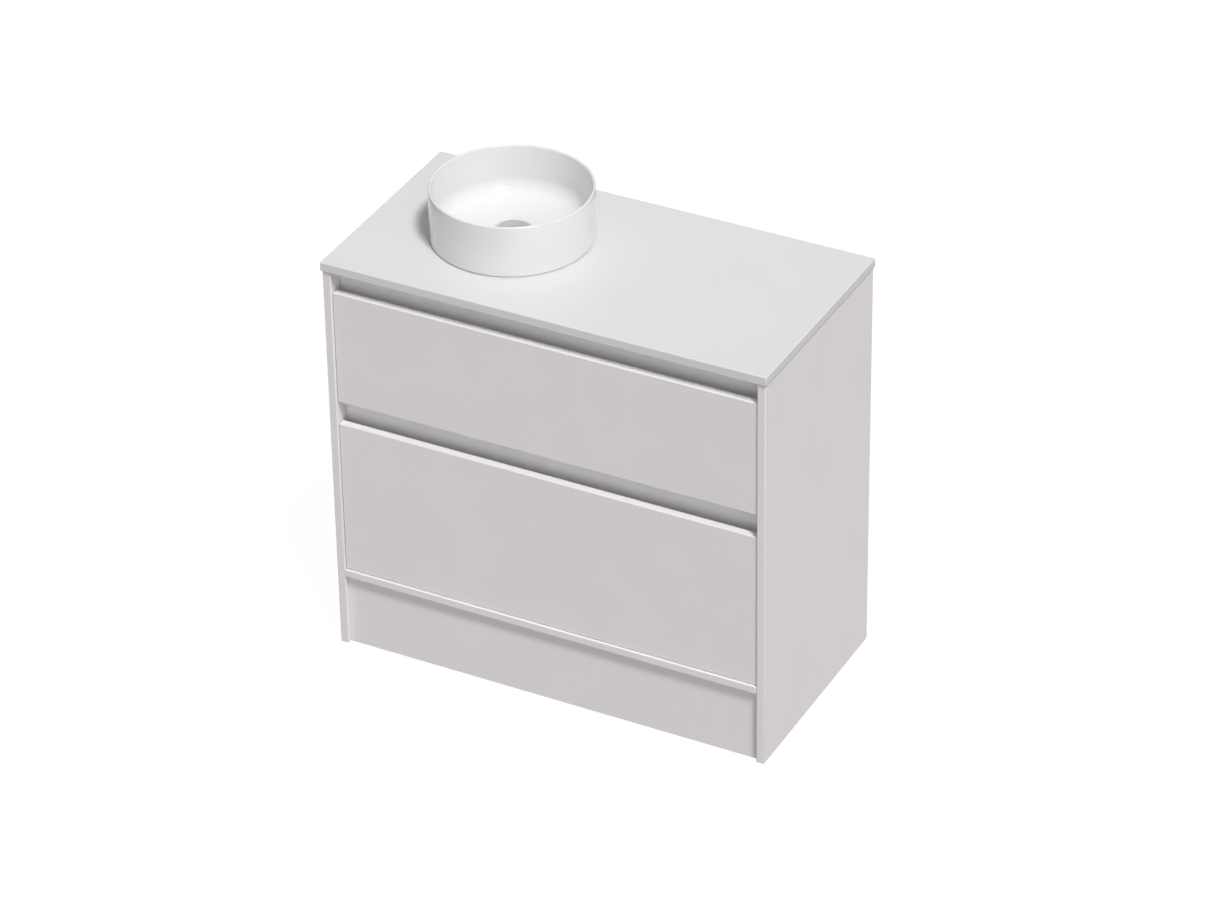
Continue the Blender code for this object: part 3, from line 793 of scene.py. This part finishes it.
def make_fixings(looks):
    screw = screw_head()
    for side, sign in SIDES.items():
        for where in ("front", "back"):
            node = f"bench_block_{where}_{side}"
            soften(node, f"corner_block_{where}_{side}", looks["polypropylene"], 0.0010)
        make_bracket(looks, screw, side, sign)
    make_caps(looks)
    for drawer in DRAWERS:
        low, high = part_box(f"{drawer}_inner_front")
        heights = (low.z + FRONT_SCREW_INSET, high.z - FRONT_SCREW_INSET)
        places = [(x, high.y, z) for x in FRONT_SCREWS for z in heights]
        scatter(f"{drawer}_front_screws", screw, places, Y_AXIS, looks["screw"], drawer, "runner_steel")


# Runners


def make_channel(looks, drawer, member, side, holes):
    """One steel channel of a runner, with its row of screw holes."""
    node = f"{drawer}_runner_{member}_{side}"
    low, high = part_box(node)
    work = from_node(node)
    round_edges(work, SHEET_ROUNDING, segments=2)
    radius, lead, reach, end_gap = 0.0026, 0.008, 0.03, 0.02
    step = (high.y - low.y - 2 * end_gap) / (holes - 1)
    drill = turn([(0, 0), (radius, 0), (radius, reach), (0, reach)], 20)
    drills = bmesh.new()
    for i in range(holes):
        place = (low.x - lead, low.y + end_gap + i * step, (low.z + high.z) / 2)
        join(drills, drill, turn_to(X_AXIS, place))
    drill.free()
    cut(work, drills)
    stand_in(f"{drawer}_{member}_channel_{side}", work, [looks["zinc"]], node)


def make_balls(looks, drawer, row, side, x, up, radius, start, end):
    """Two rows of balls, above and below the middle of a runner, each in its cage."""
    low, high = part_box(f"{drawer}_runner_middle_{side}")
    z = (low.z + high.z) / 2
    body = f"{drawer.split('_')[0]}_runner_middle"
    ball = bmesh.new()
    bmesh.ops.create_icosphere(ball, subdivisions=2, radius=radius)
    for face in ball.faces:
        face.smooth = True
    count, margin = 12, 0.006
    gap = (end - start - 2 * margin) / (count - 1)
    places = [(x, start + margin + gap * i, z + height) for i in range(count) for height in (-up, up)]
    scatter(f"{drawer}_{row}_balls_{side}", ball, places, Z_AXIS, looks["balls"], body, "runner_steel")
    ball.free()

    cage = bmesh.new()
    half, half_thick = radius * 0.8, 0.0004
    for height in (z - up, z + up):
        strip = block(
            (x - half_thick, start, height - half), (x + half_thick, end, height + half), 0.0002, 2
        )
        join(cage, strip, Matrix.Identity(4))
        strip.free()
    piece(f"{drawer}_{row}_cage_{side}", cage, [looks["damper"]], body, "white_plastic")


def make_runner(looks, drawer, side, sign):
    """One runner: three steel channels, the balls between them, and the soft-close housing."""
    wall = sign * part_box("back_top_rail")[1].x
    for member, holes in (("outer", 6), ("middle", 7), ("inner", 6)):
        make_channel(looks, drawer, member, side, holes)

    low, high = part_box(f"{drawer}_runner_middle_{side}")
    cage_length, cage_gap = 0.190, 0.014
    # Row, distance from the panel, height over the middle, ball radius, start and end of the cage
    for row, across, up, radius, start, end in (
        ("outer", 0.0070, 0.01855, 0.00225, high.y - cage_length, high.y - cage_gap),
        ("inner", 0.0090, 0.01280, 0.00160, low.y + cage_gap, low.y + cage_length),
    ):
        make_balls(looks, drawer, row, side, wall - sign * across, up, radius, start, end)

    z = (low.z + high.z) / 2
    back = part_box(f"{drawer}_runner_inner_{side}")[1].y
    near, far = sorted(wall - sign * across for across in (0.0072, 0.0110))
    reach, gap, half = 0.070, 0.004, 0.0075
    housing = block((near, back - reach, z - half), (far, back - gap, z + half), 0.0010)
    piece(f"{drawer}_damper_{side}", housing, [looks["damper"]], drawer, "white_plastic")


def make_runners(looks):
    for drawer in DRAWERS:
        for side, sign in SIDES.items():
            make_runner(looks, drawer, side, sign)


# Studio


def aim(azimuth, elevation, roll=0.0):
    """The matrix of a lamp or camera that stands at this azimuth and elevation and looks back."""
    return (
        Matrix.Rotation(math.radians(azimuth), 4, "Z")
        @ Matrix.Rotation(math.radians(90 - elevation), 4, "X")
        @ Matrix.Rotation(math.radians(roll), 4, "Z")
    )


def add_sun(name, azimuth, elevation, level, spread):
    light = bpy.data.lights.new(name, "SUN")
    light.energy = level * math.pi
    light.angle = math.radians(spread)
    lamp = bpy.data.objects.new(name, light)
    lamp.matrix_world = aim(azimuth, elevation)
    bpy.context.scene.collection.objects.link(lamp)


def make_room():
    """Soft light from all round, a little brighter from below, as off a white floor."""
    world = bpy.data.worlds.new("room")
    world.use_nodes = True
    tree = world.node_tree
    direction = add(tree, "TexCoord").outputs["Generated"]
    height = add(tree, "SeparateXYZ", {"Vector": direction}).outputs["Z"]
    level = add(
        tree, "MapRange", {"Value": height}, options={"interpolation_type": "SMOOTHSTEP"},
        From_Min=-HORIZON, From_Max=HORIZON, To_Min=GROUND_LEVEL, To_Max=SKY_LEVEL,
    )
    background = tree.nodes["Background"]
    background.inputs["Color"].default_value = (1, 1, 1, 1)
    tree.links.new(level.outputs["Result"], background.inputs["Strength"])
    bpy.context.scene.world = world


def make_camera():
    camera_data = bpy.data.cameras.new("camera")
    camera_data.lens = CAMERA_LENS
    camera_data.sensor_width = CAMERA_SENSOR
    camera = bpy.data.objects.new("camera", camera_data)
    camera.matrix_world = Matrix.Translation(CAMERA_PLACE) @ aim(
        CAMERA_AZIMUTH, CAMERA_ELEVATION, CAMERA_ROLL
    )
    bpy.context.scene.collection.objects.link(camera)
    bpy.context.scene.camera = camera


def glowing_paper(name, glow, base):
    """Seamless white studio paper lit from behind, so that shadows on it stay faint."""
    return new_material(
        name, Base_Color=srgb(base), Emission_Color=srgb("#FFFFFF"), Emission_Strength=glow, Roughness=0.9
    )[0]


def make_studio():
    """Camera, lights, and white paper underfoot and all round that lights nothing itself."""
    make_camera()
    bpy.context.scene.view_settings.view_transform = "Standard"
    add_sun("key", KEY_AZIMUTH, KEY_ELEVATION, KEY_LEVEL, KEY_SPREAD)
    add_sun("low_fill", FILL_AZIMUTH, FILL_ELEVATION, FILL_LEVEL, FILL_SPREAD)
    make_room()

    floor_work = bmesh.new()
    bmesh.ops.create_circle(floor_work, cap_ends=True, segments=64, radius=STUDIO_RADIUS)
    dome_work = bmesh.new()
    bmesh.ops.create_uvsphere(dome_work, u_segments=48, v_segments=24, radius=STUDIO_RADIUS)
    bmesh.ops.reverse_faces(dome_work, faces=dome_work.faces)
    for name, work, glow, base in (
        ("floor", floor_work, FLOOR_GLOW, "#303030"),
        ("backdrop", dome_work, BACKDROP_GLOW, "#000000"),
    ):
        mesh = bpy.data.meshes.new(name)
        work.to_mesh(mesh)
        work.free()
        mesh.materials.append(glowing_paper(f"{name}_paper", glow, base))
        stage = bpy.data.objects.new(name, mesh)
        bpy.context.scene.collection.objects.link(stage)
        stage.visible_diffuse = False
        stage.visible_glossy = False
        stage.visible_shadow = False


def make_looks():
    return {
        "paint": sprayed_polyurethane(),
        "melamine": pressed_melamine(),
        "rail": rail_lacquer_with_painted_light(),
        "chipboard": raw_chipboard(),
        "slab": cast_marble_slab(),
        "glaze": vitreous_glaze(),
        "biscuit": bare_biscuit(),
        "chrome": bright_chrome(),
        "zinc": zinc_plate(),
        "screw": zinc_plate("yellow_passivated_screw", "#B9A77A", "#C9BC96"),
        "polypropylene": moulded_polypropylene(),
        "damper": damper_plastic(),
        "rubber": black_rubber(),
        "silicone": clear_silicone(),
        "balls": bearing_steel(),
    }


def main():
    looks = make_looks()
    make_studio()
    make_carcass(looks)
    make_drawer_boards(looks)
    make_bench_top(looks)
    make_basin(looks)
    make_waste(looks)
    make_trap(looks)
    make_fixings(looks)
    make_runners(looks)


main()
